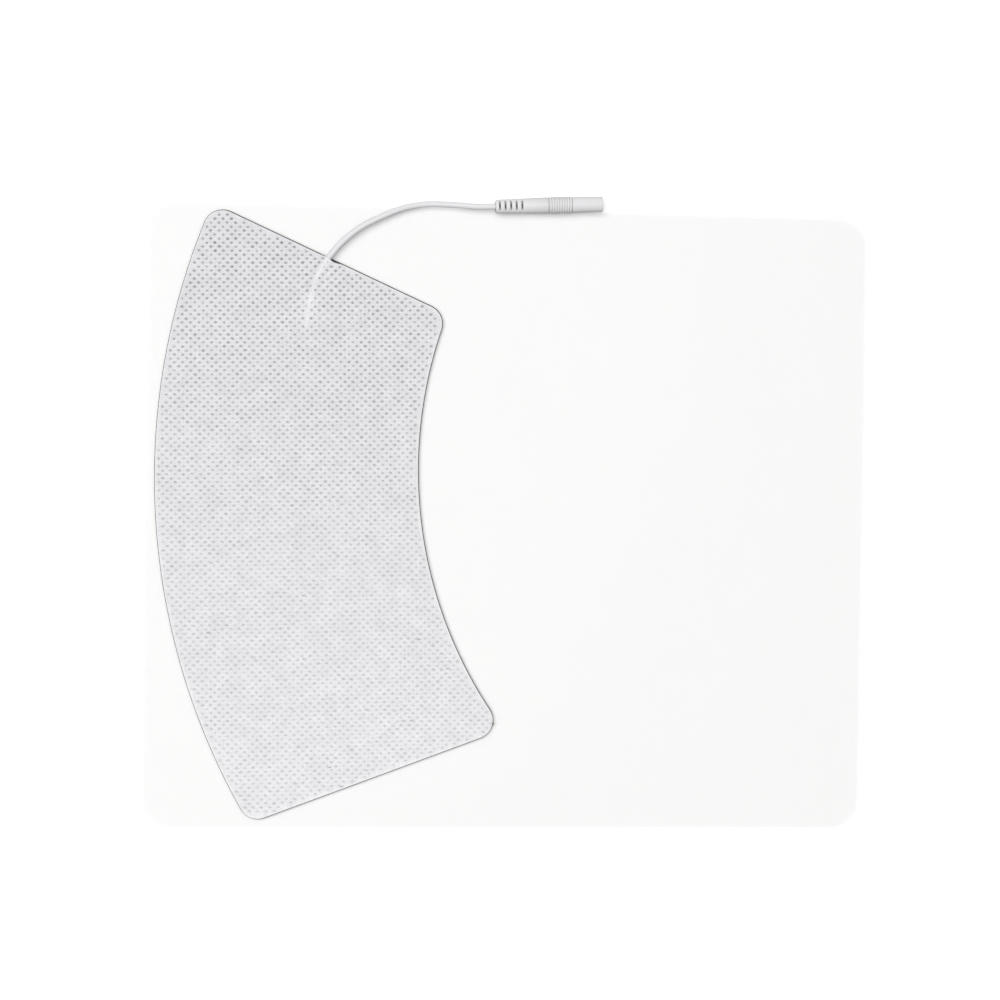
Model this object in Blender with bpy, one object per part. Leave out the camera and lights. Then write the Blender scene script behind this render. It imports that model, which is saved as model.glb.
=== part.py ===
"""Nerve stimulation electrode pad on its clear release liner, with its lead and socket connector.

Metres, +Z up. The origin is the middle of the liner's underside. The pad is a stack of flat
layers: liner, gel, carbon film and fabric. Its lead runs from inside the stack to a moulded
socket connector that lies beside the liner's far edge.
"""

import math

import bmesh
import bpy
from mathutils import Matrix, Vector
from mathutils.geometry import interpolate_bezier

# Release liner: its size is the pad's with these margins, and bare film beside the pad
LINER_SIDE_MARGIN = 0.0022
LINER_FAR_MARGIN = 0.0019
LINER_NEAR_MARGIN = 0.0032
LINER_BARE_WIDTH = 0.1140
LINER_THICKNESS = 0.0001
LINER_CORNER_RADIUS = 0.009

# Pad outline: a band between two arcs about one centre, cut off by two straight ends.
# An end's angle is that of its edge from +X, and its offset is from the arcs' centre.
PAD_INNER_RADIUS = 0.128
PAD_BAND_WIDTH = 0.080
TOP_END_ANGLE = math.radians(-24.3)
TOP_END_OFFSET = 0.0065
BOTTOM_END_ANGLE = math.radians(20.3)
BOTTOM_END_OFFSET = 0.0392
PAD_CORNER_RADIUS = 0.006
LONG_ARC_STEP = math.radians(2.0)
CORNER_STEP = math.radians(15.0)

# Layers of the stack, and the glue line between two of them
GEL_THICKNESS = 0.0009
FILM_THICKNESS = 0.0001
FABRIC_THICKNESS = 0.0004
BOND_GAP = 0.00003
FABRIC_INSET = 0.0003

# Lead
LEAD_DIAMETER = 0.0018
LEAD_CLEARANCE = 0.0001
LEAD_POINT_SPACING = 0.004
CONDUCTOR_DIAMETER = 0.0009

# Stripped strands, fanned out on the film
STRAND_COUNT = 5
STRAND_DIAMETER = 0.0003
STRAND_LENGTH = 0.0085
FAN_WIDTH = 0.0022
STUB_LENGTH = 0.0012

# Raised channel of the fabric over the lead and its strands, this many leads wide
CHANNEL_WIDTH_IN_LEADS = 3.0
CHANNEL_RISE_LENGTH = 0.0030
CHANNEL_RUN_OUT = 0.0030
CHANNEL_STATION = 0.0010
CHANNEL_SIDES = 12
RIDGE_SINK = 0.0001
EDGE_OVERCUT = 0.0010

# Socket connector, measured along its axis from its rear end, which lies just past
# the liner's far edge. A taper is the loss of radius along its stretch.
CONNECTOR_REAR_X = -0.0060
CONNECTOR_PAST_LINER = 0.0007
CONNECTOR_ANGLE = math.radians(2.76)
CONNECTOR_REST_GAP = 0.00005
CONNECTOR_DIAMETER = 0.0049
RELIEF_LENGTH = 0.0089
RELIEF_TAPER = 0.0002
RELIEF_EDGE_RADIUS = 0.0006
BODY_LENGTH = 0.0075
BODY_TAPER = 0.0002
GRIP_RINGS = 9
GRIP_RING_PITCH = 0.00077
GRIP_CREST_SHARE = 0.4
GRIP_PROUD = 0.0001
GRIP_GROOVE_DEPTH = 0.00012
NOSE_LENGTH = 0.0095
NOSE_TAPER = 0.0001
NOSE_EDGE_RADIUS = 0.0003

# Windows through the strain relief, between its rear collar and the body
WINDOW_ROWS = 3
WINDOWS_A_ROW = 5
RELIEF_COLLAR = 0.0004
WINDOW_WIDTH = 0.00045
WINDOW_SPAN = 0.0025

# Socket and crimp inside the connector
PIN_DIAMETER = 0.0020
SLEEVE_WALL = 0.0003
SLEEVE_LENGTH = 0.0125
SLEEVE_SEAM = 0.0003
CRIMP_LENGTH = 0.0040
CRIMP_WALL = 0.0003
MOUTH_LIP = 0.0008
MOUTH_CHAMFER = 0.0003
MOULD_GAP = 0.0001
ROUND_SIDES = 32

# Heights that follow from the layers
GEL_BOTTOM = LINER_THICKNESS + BOND_GAP
FILM_BOTTOM = GEL_BOTTOM + GEL_THICKNESS + BOND_GAP
FILM_TOP = FILM_BOTTOM + FILM_THICKNESS
FABRIC_BOTTOM = FILM_TOP + BOND_GAP
FABRIC_TOP = FABRIC_BOTTOM + FABRIC_THICKNESS
LEAD_RADIUS = LEAD_DIAMETER / 2
LEAD_BORE_RADIUS = LEAD_RADIUS + MOULD_GAP
GRIP_RADIUS = CONNECTOR_DIAMETER / 2 + GRIP_PROUD
AXIS_ON_FILM = FILM_TOP + LEAD_CLEARANCE + LEAD_RADIUS
AXIS_ON_LINER = LINER_THICKNESS + LEAD_CLEARANCE + LEAD_RADIUS
AXIS_OF_CONNECTOR = CONNECTOR_REST_GAP + GRIP_RADIUS

# Plan of the lead's run under the fabric: distance along the pad's top edge towards
# the outer side, and depth into the pad, both from the middle of that edge
HIDDEN_ROUTE = [
    (-0.0008, -0.0038),
    (0.0001, 0.0000),
    (0.0008, 0.0033),
    (0.0013, 0.0066),
    (0.0012, 0.0098),
    (0.0006, 0.0133),
    (-0.0003, 0.0168),
    (-0.0013, 0.0198),
    (-0.0022, 0.0227),
]
JACKET_HIDDEN_LENGTH = 0.0100
OUTSIDE_FALL = 0.15

# Plan of the lead's free run, with y from the liner's far edge, then how far each point
# has come down from the film's height and how far it has risen to the connector's axis
FREE_ROUTE = [
    (-0.0512, -0.0102, 0.45, 0.0),
    (-0.0466, -0.0065, 0.85, 0.0),
    (-0.0407, -0.0030, 1.0, 0.0),
    (-0.0348, -0.0006, 1.0, 0.0),
    (-0.0288, 0.0006, 1.0, 0.05),
    (-0.0228, 0.0010, 1.0, 0.2),
    (-0.0167, 0.0008, 1.0, 0.5),
    (-0.0110, 0.0005, 1.0, 0.85),
]


def clear_scene():
    for obj in list(bpy.data.objects):
        bpy.data.objects.remove(obj, do_unlink=True)


def material(name, colour, roughness, metallic=0.0, alpha=1.0, transmission=0.0):
    made = bpy.data.materials.new(name)
    made.use_nodes = True
    shader = made.node_tree.nodes["Principled BSDF"]
    shader.inputs["Base Color"].default_value = (*colour, 1.0)
    shader.inputs["Roughness"].default_value = roughness
    shader.inputs["Metallic"].default_value = metallic
    shader.inputs["Alpha"].default_value = alpha
    shader.inputs["Transmission Weight"].default_value = transmission
    return made


def object_from(name, bm, finish, smooth=False):
    """A mesh object made from bm, with its normals turned outwards."""
    bmesh.ops.recalc_face_normals(bm, faces=bm.faces)
    mesh = bpy.data.meshes.new(name)
    bm.to_mesh(mesh)
    bm.free()
    if finish:
        mesh.materials.append(finish)
    if smooth:
        mesh.shade_smooth()
        mesh.set_sharp_from_angle(angle=math.radians(35.0))
    obj = bpy.data.objects.new(name, mesh)
    bpy.context.scene.collection.objects.link(obj)
    return obj


def as_helper(obj):
    obj.hide_render = True
    obj.display_type = "WIRE"
    return obj


def boolean(obj, operation, other):
    modifier = obj.modifiers.new(operation.lower(), "BOOLEAN")
    modifier.operation = operation
    modifier.solver = "EXACT"
    modifier.object = as_helper(other)


def arc(centre, radius, start, end, step):
    """Points from one angle to another, both ends included."""
    count = max(1, math.ceil(abs(end - start) / step - 1e-6))
    angles = [start + (end - start) * i / count for i in range(count + 1)]
    return [centre + radius * Vector((math.cos(a), math.sin(a))) for a in angles]


def angle_of(vector):
    return math.atan2(vector.y, vector.x) % math.tau


def end_fillet(normal_angle, offset, along_angle, radius, fillet, outer):
    """Centre of a corner arc between a straight end and a long arc, from the arcs' centre."""
    reach = radius - fillet if outer else radius + fillet
    depth = offset - fillet
    along = math.sqrt(reach**2 - depth**2)
    normal = Vector((math.cos(normal_angle), math.sin(normal_angle)))
    side = Vector((math.cos(along_angle), math.sin(along_angle)))
    return normal * depth + side * along


def band_outline(inset, middle):
    """The pad's edge about its arcs' centre, moved inwards by inset, anticlockwise from its
    top outer corner."""
    outer = PAD_INNER_RADIUS + PAD_BAND_WIDTH - inset
    inner = PAD_INNER_RADIUS + inset
    fillet = PAD_CORNER_RADIUS - inset
    top = (TOP_END_ANGLE + math.pi / 2, -TOP_END_OFFSET - inset, TOP_END_ANGLE + math.pi)
    bottom_normal = BOTTOM_END_ANGLE - math.pi / 2
    bottom = (bottom_normal, BOTTOM_END_OFFSET - inset, BOTTOM_END_ANGLE + math.pi)
    top_outer = end_fillet(*top, outer, fillet, True)
    top_inner = end_fillet(*top, inner, fillet, False)
    bottom_outer = end_fillet(*bottom, outer, fillet, True)
    bottom_inner = end_fillet(*bottom, inner, fillet, False)
    up = top[0]
    down = bottom_normal + math.tau
    out_top = angle_of(top_outer)
    out_bottom = angle_of(bottom_outer)
    in_top = angle_of(-top_inner)
    in_bottom = angle_of(-bottom_inner) + math.tau
    points = arc(middle + top_outer, fillet, up, out_top, CORNER_STEP)
    points += arc(middle, outer, out_top, out_bottom, LONG_ARC_STEP)[1:-1]
    points += arc(middle + bottom_outer, fillet, out_bottom, down, CORNER_STEP)
    points += arc(middle + bottom_inner, fillet, down, in_bottom, CORNER_STEP)
    inner_arc = arc(middle, inner, angle_of(bottom_inner), angle_of(top_inner), LONG_ARC_STEP)
    points += inner_arc[1:-1]
    points += arc(middle + top_inner, fillet, in_top, up + math.tau, CORNER_STEP)
    return points


def liner_layout():
    """Width and length of the liner, and the place of the pad's arcs' centre on it."""
    outline = band_outline(0.0, Vector((0.0, 0.0)))
    left = min(point.x for point in outline)
    right = max(point.x for point in outline)
    low = min(point.y for point in outline)
    high = max(point.y for point in outline)
    width = LINER_SIDE_MARGIN + right - left + LINER_BARE_WIDTH
    length = LINER_NEAR_MARGIN + high - low + LINER_FAR_MARGIN
    middle_x = -width / 2 + LINER_SIDE_MARGIN - left
    middle_y = -length / 2 + LINER_NEAR_MARGIN - low
    return width, length, Vector((middle_x, middle_y))


def pad_outline(inset):
    return band_outline(inset, liner_layout()[2])


def liner_outline():
    width, length, _ = liner_layout()
    points = []
    for quarter in range(4):
        start = quarter * math.pi / 2
        x_side = 1 if quarter in (0, 3) else -1
        y_side = 1 if quarter < 2 else -1
        centre = Vector((
            x_side * (width / 2 - LINER_CORNER_RADIUS),
            y_side * (length / 2 - LINER_CORNER_RADIUS),
        ))
        points += arc(centre, LINER_CORNER_RADIUS, start, start + math.pi / 2, CORNER_STEP)
    return points


def prism(outline, bottom, top):
    """A flat slab of this outline between two heights."""
    bm = bmesh.new()
    base = bm.faces.new([bm.verts.new((p.x, p.y, bottom)) for p in outline])
    raised = bmesh.ops.extrude_face_region(bm, geom=[base])["geom"]
    verts = [item for item in raised if isinstance(item, bmesh.types.BMVert)]
    bmesh.ops.translate(bm, verts=verts, vec=(0.0, 0.0, top - bottom))
    return bm


def smooth_points(route, spacing):
    """Points at even spacing on one smooth curve through the route's points."""
    knots = [Vector(p) for p in route]
    ends = [2 * knots[0] - knots[1], *knots, 2 * knots[-1] - knots[-2]]
    fine = [knots[0]]
    for before, a, b, after in zip(ends, ends[1:], ends[2:], ends[3:]):
        leave = a + (b - before) / 6
        arrive = b - (after - a) / 6
        fine += interpolate_bezier(a, leave, arrive, b, 24)[1:]
    run = [0.0]
    for a, b in zip(fine, fine[1:]):
        run.append(run[-1] + (b - a).length)
    count = max(2, round(run[-1] / spacing))
    points = []
    index = 0
    for step in range(count + 1):
        wanted = run[-1] * step / count
        while index < len(run) - 2 and run[index + 1] < wanted:
            index += 1
        share = (wanted - run[index]) / (run[index + 1] - run[index])
        points.append(fine[index].lerp(fine[index + 1], share))
    return points


def ease(share):
    """0 to 1 with no corner at either end."""
    held = min(max(share, 0.0), 1.0)
    return held * held * (3 - 2 * held)


def sweep(stations, loop_at):
    """A closed body through one loop of points at each station."""
    bm = bmesh.new()
    loops = []
    for index, station in enumerate(stations):
        verts = [bm.verts.new(point) for point in loop_at(index, station)]
        edges = [bm.edges.new((a, b)) for a, b in zip(verts, verts[1:] + verts[:1])]
        loops.append((verts, edges))
    for (_, first), (_, second) in zip(loops, loops[1:]):
        bmesh.ops.bridge_loops(bm, edges=first + second)
    bm.faces.new(loops[0][0])
    bm.faces.new(loops[-1][0])
    return bm


def hidden_plan():
    """The hidden route's points in plan, from the middle of the pad's top edge."""
    outwards = Vector((math.cos(TOP_END_ANGLE + math.pi), math.sin(TOP_END_ANGLE + math.pi)))
    normal = Vector((-math.sin(TOP_END_ANGLE), math.cos(TOP_END_ANGLE)))
    edge_middle = outwards * (PAD_INNER_RADIUS + PAD_BAND_WIDTH / 2)
    start = liner_layout()[2] + edge_middle - normal * TOP_END_OFFSET
    return [start + outwards * along - normal * depth for along, depth in HIDDEN_ROUTE]


def hidden_stations():
    """Places along the hidden run: point, sideways direction and distance from its start."""
    route = [(point.x, point.y, 0.0) for point in hidden_plan()]
    points = smooth_points(route, CHANNEL_STATION)
    stations = []
    run = 0.0
    for index, point in enumerate(points):
        before = points[max(index - 1, 0)]
        after = points[min(index + 1, len(points) - 1)]
        heading = (after - before).normalized()
        if index:
            run += (point - points[index - 1]).length
        stations.append((point, Vector((-heading.y, heading.x, 0.0)), run))
    return stations


def channel_height(run):
    """Inner height of the channel over the fabric's underside at this distance along it."""
    over_jacket = FILM_TOP + 2 * LEAD_CLEARANCE + LEAD_DIAMETER - FABRIC_BOTTOM
    fan_edge = (FAN_WIDTH + STRAND_DIAMETER) / 2
    over_strands = (2 * LEAD_CLEARANCE + STRAND_DIAMETER) / bell(fan_edge / channel_half_width())
    jacket_end = route_start() + JACKET_HIDDEN_LENGTH + LEAD_CLEARANCE
    strands_end = jacket_end + STRAND_LENGTH + LEAD_CLEARANCE
    fall = ease((run - jacket_end) / CHANNEL_RISE_LENGTH)
    fade = ease((run - strands_end) / CHANNEL_RUN_OUT)
    return (over_jacket + (over_strands - over_jacket) * fall) * (1 - fade)


def bell(share):
    """Height of a bell curve of height 1 at a share of its half width."""
    return 0.5 * (1 + math.cos(math.pi * share))


def channel_half_width():
    return CHANNEL_WIDTH_IN_LEADS * LEAD_RADIUS + LEAD_CLEARANCE


def route_start():
    """Length of the hidden route that lies outside the pad's edge."""
    outside, edge = hidden_plan()[:2]
    return (edge - outside).length


def bell_loop(station, height, half_width, floor, base):
    """A bell-shaped section with a flat floor, across the hidden run."""
    point, side, _ = station
    loop = []
    for index in range(CHANNEL_SIDES + 1):
        share = 2 * index / CHANNEL_SIDES - 1
        rise = height * bell(share)
        loop.append(point + side * half_width * share + Vector((0.0, 0.0, base + rise)))
    loop.append(point + side * half_width + Vector((0.0, 0.0, floor)))
    loop.append(point - side * half_width + Vector((0.0, 0.0, floor)))
    return loop


def release_liner():
    clear_film = material("clear_film", (0.93, 0.94, 0.94), 0.15, alpha=0.35)
    object_from("release_liner", prism(liner_outline(), 0.0, LINER_THICKNESS), clear_film)


def hydrogel_layer():
    gel = material("clear_gel", (0.86, 0.88, 0.86), 0.12, transmission=0.6)
    slab = prism(pad_outline(0.0), GEL_BOTTOM, GEL_BOTTOM + GEL_THICKNESS)
    object_from("hydrogel_layer", slab, gel)


def carbon_film():
    carbon = material("carbon_black", (0.02, 0.02, 0.022), 0.55)
    object_from("carbon_film", prism(pad_outline(0.0), FILM_BOTTOM, FILM_TOP), carbon)


def backing_fabric():
    """The cover, raised in a channel over the lead, with the channel open at the pad's edge."""
    nonwoven = material("white_nonwoven", (0.80, 0.80, 0.82), 0.9)
    blank = prism(pad_outline(FABRIC_INSET - EDGE_OVERCUT), FABRIC_BOTTOM, FABRIC_TOP)
    cover = object_from("backing_fabric", blank, nonwoven)
    stations = hidden_stations()
    inner_width = channel_half_width()
    ridge_base = FABRIC_TOP - RIDGE_SINK
    ridge_floor = FABRIC_BOTTOM + RIDGE_SINK
    cut_base = FABRIC_BOTTOM - BOND_GAP / 2
    cut_floor = FABRIC_BOTTOM - RIDGE_SINK

    def ridge_loop(_, station):
        height = channel_height(station[2]) + RIDGE_SINK
        width = inner_width + FABRIC_THICKNESS
        return bell_loop(station, height, width, ridge_floor, ridge_base)

    def channel_loop(_, station):
        height = channel_height(station[2])
        return bell_loop(station, height, inner_width, cut_floor, cut_base)

    ridge = object_from("ridge_form", sweep(stations, ridge_loop), None)
    channel = object_from("channel_form", sweep(stations, channel_loop), None)
    tallest = FABRIC_TOP + 2 * LEAD_DIAMETER
    knife = prism(pad_outline(FABRIC_INSET), FABRIC_BOTTOM - RIDGE_SINK, tallest)
    boolean(cover, "UNION", ridge)
    boolean(cover, "DIFFERENCE", channel)
    boolean(cover, "INTERSECT", object_from("outline_knife", knife, None))


def round_sweep(points, radius, sides):
    """A plain tube through points that all lie at one height."""
    stations = []
    for index, point in enumerate(points):
        before = points[max(index - 1, 0)]
        after = points[min(index + 1, len(points) - 1)]
        heading = (after - before).normalized()
        stations.append((point, Vector((-heading.y, heading.x, 0.0))))

    def ring(_, station):
        centre, side = station
        up = Vector((0.0, 0.0, 1.0))
        angles = [math.tau * i / sides for i in range(sides)]
        return [centre + radius * (side * math.cos(a) + up * math.sin(a)) for a in angles]

    return sweep(stations, ring)


def point_on_hidden(run):
    """Point and sideways direction at a distance along the hidden run."""
    stations = hidden_stations()
    for (a, side_a, run_a), (b, side_b, run_b) in zip(stations, stations[1:]):
        if run_b >= run:
            share = (run - run_a) / (run_b - run_a)
            return a.lerp(b, share), side_a.lerp(side_b, share).normalized()
    raise ValueError("the hidden route is shorter than the lead and strands under the fabric")


def conductor_strands():
    """Bare conductor: a short stub at the jacket's end that splits into a fan of strands."""
    copper = material("tinned_copper", (0.72, 0.68, 0.62), 0.35, metallic=1.0)
    start = route_start() + JACKET_HIDDEN_LENGTH + LEAD_CLEARANCE
    stub_radius = CONDUCTOR_DIAMETER / 2
    stub_height = FILM_TOP + LEAD_CLEARANCE + stub_radius
    lift = Vector((0.0, 0.0, stub_height))
    stub_points = [point_on_hidden(start + STUB_LENGTH * i / 2)[0] + lift for i in range(3)]
    body = object_from("conductor_strands", round_sweep(stub_points, stub_radius, 10), copper, True)
    strand_radius = STRAND_DIAMETER / 2
    low = FILM_TOP + LEAD_CLEARANCE + strand_radius
    for strand in range(STRAND_COUNT):
        offset = 2 * strand / (STRAND_COUNT - 1) - 1
        points = []
        for step in range(7):
            share = step / 6
            run = start + STUB_LENGTH / 2 + (STRAND_LENGTH - STUB_LENGTH / 2) * share
            centre, side = point_on_hidden(run)
            spread = stub_radius / 2 + (FAN_WIDTH / 2 - stub_radius / 2) * ease(share)
            points.append(centre + side * offset * spread + Vector((0.0, 0.0, low)))
        shape = object_from(f"strand_form_{strand + 1}", round_sweep(points, strand_radius, 6), None)
        boolean(body, "UNION", shape)


def connector_point(along):
    """A point on the connector's axis, at a distance from its rear end."""
    rear_y = liner_layout()[1] / 2 + CONNECTOR_PAST_LINER
    rear = Vector((CONNECTOR_REAR_X, rear_y, AXIS_OF_CONNECTOR))
    heading = Vector((math.cos(CONNECTOR_ANGLE), math.sin(CONNECTOR_ANGLE), 0.0))
    return rear + heading * along


def lead_end():
    """Distance of the jacket's end from the connector's rear end."""
    socket_start = socket_rear() - CRIMP_LENGTH
    return socket_start - LEAD_CLEARANCE


def lead_route():
    """The lead's own points: under the fabric, free, then straight into the connector."""
    inside = []
    for quarter in (4, 3, 2, 1):
        point = point_on_hidden(route_start() + JACKET_HIDDEN_LENGTH * quarter / 4)[0]
        inside.append((point.x, point.y, AXIS_ON_FILM))
    fall = AXIS_ON_LINER - AXIS_ON_FILM
    rise = AXIS_OF_CONNECTOR - AXIS_ON_LINER
    outside = hidden_plan()[0]
    free = [(outside.x, outside.y, AXIS_ON_FILM + fall * OUTSIDE_FALL)]
    far_edge = liner_layout()[1] / 2
    for x, past_edge, down, up in FREE_ROUTE:
        free.append((x, far_edge + past_edge, AXIS_ON_FILM + fall * down + rise * up))
    depths = [-LEAD_DIAMETER, lead_end() / 3, lead_end() * 2 / 3, lead_end()]
    return [*inside, *free, *(connector_point(depth) for depth in depths)]


def lead_wire():
    """The jacketed lead as one tube."""
    jacket = material("pale_lead_jacket", (0.72, 0.72, 0.74), 0.4)
    curve = bpy.data.curves.new("lead_wire", "CURVE")
    curve.dimensions = "3D"
    curve.bevel_depth = LEAD_RADIUS
    curve.bevel_resolution = 2
    curve.use_fill_caps = True
    points = smooth_points(lead_route(), LEAD_POINT_SPACING)
    spline = curve.splines.new("POLY")
    spline.points.add(len(points) - 1)
    for target, point in zip(spline.points, points):
        target.co = (*point, 1.0)
    curve.materials.append(jacket)
    lead = bpy.data.objects.new("lead_wire", curve)
    bpy.context.scene.collection.objects.link(lead)


def connector_length():
    return RELIEF_LENGTH + BODY_LENGTH + GRIP_RINGS * GRIP_RING_PITCH + NOSE_LENGTH


def socket_front():
    return connector_length() - MOUTH_LIP - MOULD_GAP


def socket_rear():
    return socket_front() - SLEEVE_LENGTH


def turned(profile):
    """A body turned about +X from (along, radius) points that run right round its section."""
    bm = bmesh.new()
    verts = [bm.verts.new((along, radius, 0.0)) for along, radius in profile]
    edges = [bm.edges.new((a, b)) for a, b in zip(verts, verts[1:] + verts[:1])]
    bmesh.ops.spin(
        bm,
        geom=edges,
        axis=(1.0, 0.0, 0.0),
        cent=(0.0, 0.0, 0.0),
        steps=ROUND_SIDES,
        angle=math.tau,
        use_merge=True,
    )
    return bm


def onto_connector(bm):
    """Takes what was made about +X, from the rear end, to the connector's place."""
    place = Matrix.Translation(connector_point(0.0)) @ Matrix.Rotation(CONNECTOR_ANGLE, 4, "Z")
    bmesh.ops.transform(bm, matrix=place, verts=bm.verts)
    return bm


def rounded_edge(along, radius, fillet, rising):
    """Four points of a quarter round at a turned body's end."""
    points = []
    for step in range(4):
        angle = math.pi / 2 * step / 3
        inwards = fillet * (1 - math.sin(angle))
        back = fillet * (1 - math.cos(angle))
        if rising:
            points.append((along + inwards, radius - back))
        else:
            points.append((along - inwards, radius - back))
    return points[::-1] if rising else points


def housing_outline():
    """Outer side of the housing from rear to front."""
    radius = CONNECTOR_DIAMETER / 2
    rear_radius = radius - BODY_TAPER - RELIEF_TAPER
    points = rounded_edge(0.0, rear_radius, RELIEF_EDGE_RADIUS, True)
    points.append((RELIEF_LENGTH, radius - BODY_TAPER))
    grip_start = RELIEF_LENGTH + BODY_LENGTH
    points.append((grip_start - GRIP_GROOVE_DEPTH, radius))
    groove = GRIP_RADIUS - GRIP_GROOVE_DEPTH
    slope = GRIP_RING_PITCH * (1 - GRIP_CREST_SHARE) / 2
    for ring in range(GRIP_RINGS):
        start = grip_start + ring * GRIP_RING_PITCH
        points.append((start, groove))
        points.append((start + slope, GRIP_RADIUS))
        points.append((start + GRIP_RING_PITCH - slope, GRIP_RADIUS))
    nose_start = grip_start + GRIP_RINGS * GRIP_RING_PITCH
    points.append((nose_start, groove))
    points.append((nose_start + GRIP_GROOVE_DEPTH, radius))
    points += rounded_edge(connector_length(), radius - NOSE_TAPER, NOSE_EDGE_RADIUS, False)
    return points


def housing_bore():
    """The housing's inside from front to rear: mouth, socket seat, then crimp and lead."""
    seat = PIN_DIAMETER / 2 + SLEEVE_WALL + MOULD_GAP
    mouth = PIN_DIAMETER / 2 + MOULD_GAP
    front = connector_length()
    crimp_seat = CONDUCTOR_DIAMETER / 2 + CRIMP_WALL + 2 * MOULD_GAP
    crimp_start = socket_rear() - CRIMP_LENGTH - MOULD_GAP
    return [
        (front, mouth + MOUTH_CHAMFER),
        (front - MOUTH_CHAMFER, mouth),
        (front - MOUTH_LIP, mouth),
        (front - MOUTH_LIP, seat),
        (socket_rear() - MOULD_GAP, seat),
        (socket_rear() - MOULD_GAP, crimp_seat),
        (crimp_start, crimp_seat),
        (crimp_start, LEAD_BORE_RADIUS),
        (0.0, LEAD_BORE_RADIUS),
    ]


def relief_windows():
    """Cutters for the windows: rows of narrow slots round the strain relief."""
    bm = bmesh.new()
    floor = LEAD_BORE_RADIUS - MOULD_GAP / 2
    top = CONNECTOR_DIAMETER
    pitch = (RELIEF_LENGTH - RELIEF_COLLAR) / WINDOWS_A_ROW
    size = Matrix.Diagonal((WINDOW_WIDTH, WINDOW_SPAN, top - floor, 1.0))
    for row in range(WINDOW_ROWS):
        turn = Matrix.Rotation(math.tau * row / WINDOW_ROWS, 4, "X")
        for slot in range(WINDOWS_A_ROW):
            along = RELIEF_COLLAR + (slot + 0.5) * pitch
            place = Matrix.Translation((along, 0.0, (top + floor) / 2))
            bmesh.ops.create_cube(bm, size=1.0, matrix=turn @ place @ size)
    return bm


def connector_housing():
    moulding = material("pale_connector_plastic", (0.70, 0.70, 0.71), 0.35)
    body = turned(housing_outline() + housing_bore())
    housing = object_from("connector_housing", onto_connector(body), moulding, True)
    windows = object_from("window_form", onto_connector(relief_windows()), None)
    boolean(housing, "DIFFERENCE", windows)


def socket_sleeve():
    """Rolled brass socket for a pin, drawn in to a crimp barrel at its rear."""
    brass = material("brass", (0.80, 0.62, 0.30), 0.28, metallic=1.0)
    bore = PIN_DIAMETER / 2
    outer = bore + SLEEVE_WALL
    crimp_bore = CONDUCTOR_DIAMETER / 2 + MOULD_GAP
    crimp_outer = crimp_bore + CRIMP_WALL
    rear = socket_rear()
    front = socket_front()
    profile = [
        (rear - CRIMP_LENGTH, crimp_outer),
        (rear, crimp_outer),
        (rear, outer),
        (front, outer),
        (front, bore),
        (rear + SLEEVE_WALL, bore),
        (rear + SLEEVE_WALL, crimp_bore),
        (rear - CRIMP_LENGTH, crimp_bore),
    ]
    sleeve = object_from("socket_sleeve", onto_connector(turned(profile)), brass, True)
    seam_start = rear + 2 * SLEEVE_WALL
    seam_end = front + SLEEVE_WALL
    size = Matrix.Diagonal((seam_end - seam_start, SLEEVE_SEAM, 2 * outer, 1.0))
    place = Matrix.Translation(((seam_start + seam_end) / 2, 0.0, outer))
    bm = bmesh.new()
    bmesh.ops.create_cube(bm, size=1.0, matrix=place @ size)
    seam = object_from("seam_form", onto_connector(bm), None)
    boolean(sleeve, "DIFFERENCE", seam)


def crimped_conductor():
    """Stripped end of the lead, held in the crimp barrel."""
    copper = bpy.data.materials["tinned_copper"]
    start = lead_end() + LEAD_CLEARANCE
    end = socket_rear()
    radius = CONDUCTOR_DIAMETER / 2
    bm = bmesh.new()
    turn = Matrix.Rotation(math.pi / 2, 4, "Y")
    place = Matrix.Translation(((start + end) / 2, 0.0, 0.0)) @ turn
    bmesh.ops.create_cone(
        bm,
        cap_ends=True,
        segments=12,
        radius1=radius,
        radius2=radius,
        depth=end - start,
        matrix=place,
    )
    object_from("crimped_conductor", onto_connector(bm), copper, True)


def build():
    clear_scene()
    release_liner()
    hydrogel_layer()
    carbon_film()
    backing_fabric()
    conductor_strands()
    lead_wire()
    connector_housing()
    socket_sleeve()
    crimped_conductor()


build()
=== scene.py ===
"""The looks of the electrode pad: its film, gel, fabric, lead and socket connector, finished."""

import math
import random

import bmesh
import bpy
from mathutils import Matrix, Vector
from mathutils.geometry import interpolate_bezier


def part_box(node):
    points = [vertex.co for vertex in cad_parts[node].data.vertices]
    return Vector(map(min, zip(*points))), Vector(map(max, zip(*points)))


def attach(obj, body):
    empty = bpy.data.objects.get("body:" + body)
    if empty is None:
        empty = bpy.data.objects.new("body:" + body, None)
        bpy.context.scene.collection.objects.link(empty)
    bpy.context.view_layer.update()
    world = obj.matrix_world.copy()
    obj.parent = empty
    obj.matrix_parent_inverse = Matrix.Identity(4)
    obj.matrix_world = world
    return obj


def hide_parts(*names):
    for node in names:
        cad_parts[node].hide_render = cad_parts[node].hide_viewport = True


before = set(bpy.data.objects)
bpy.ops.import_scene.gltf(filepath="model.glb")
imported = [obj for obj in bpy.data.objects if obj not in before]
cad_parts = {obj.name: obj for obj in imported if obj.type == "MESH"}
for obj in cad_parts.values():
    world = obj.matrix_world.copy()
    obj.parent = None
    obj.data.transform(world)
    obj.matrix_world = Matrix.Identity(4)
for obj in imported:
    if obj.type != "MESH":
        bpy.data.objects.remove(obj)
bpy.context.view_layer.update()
scene = bpy.context.scene

# Camera: it looks down on the pad from a little beside it, with a short telephoto lens.
CAMERA_PLACE = (-0.05443, 0.01066, 0.59217)
CAMERA_TURN = (-0.5205, -4.9503, 0.8303)
LENS_MM = 70.0

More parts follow.
